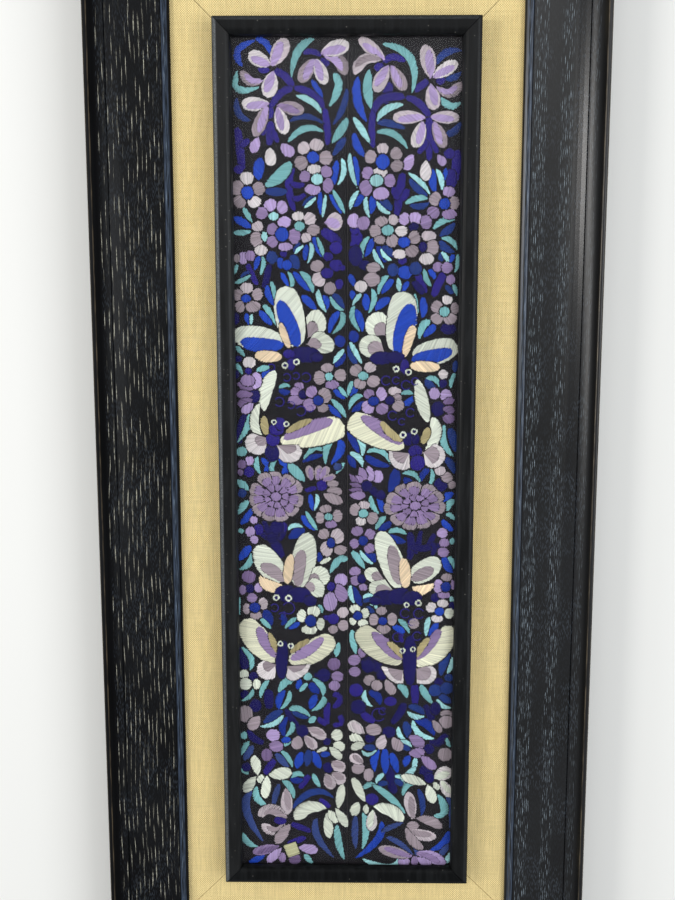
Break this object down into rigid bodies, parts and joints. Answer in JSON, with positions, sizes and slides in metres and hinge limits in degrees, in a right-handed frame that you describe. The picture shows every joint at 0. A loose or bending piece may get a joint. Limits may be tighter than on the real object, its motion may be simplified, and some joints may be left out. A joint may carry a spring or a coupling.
{
  "type": "silk embroidery panel with its frame",
  "caption": "Upright silk embroidery of butterflies and blossoms, glazed in a slim black frame, with a linen liner and a broad scooped oak frame around it.",
  "frame": {"origin": "middle of the back, on the plane that the panel lies on", "axes": "+X to the panel's right, +Y to its top edge, +Z out of its face"},
  "size_m": [0.324, 0.731, 0.038],
  "materials": {
    "black_oak": "black-stained open-grain oak with pale liming in the pores and a worn brown rim",
    "straw_linen": "straw-gold plain-weave linen, matt",
    "satin_black": "satin black paint with light rubs",
    "clear_glass": "clear picture glass with a faint haze",
    "embroidered_silk": "charcoal silk covered in satin stitch in blues, aqua, lilac, off-white, peach and tan",
    "mount_card": "plain uncoated board",
    "brown_hardboard": "plain brown hardboard"
  },
  "bodies": {
    "root": {"outer_rail_top": "black_oak", "outer_rail_left": "black_oak", "outer_rail_bottom": "black_oak", "outer_rail_right": "black_oak", "liner_bar_top": "straw_linen", "liner_bar_left": "straw_linen", "liner_bar_bottom": "straw_linen", "liner_bar_right": "straw_linen", "inner_rail_top": "satin_black", "inner_rail_left": "satin_black", "inner_rail_bottom": "satin_black", "inner_rail_right": "satin_black", "glass_pane": "clear_glass", "silk_band_left": "embroidered_silk", "silk_band_right": "embroidered_silk", "mount_board": "mount_card", "backing_board": "brown_hardboard"}
  },
  "joints": []
}
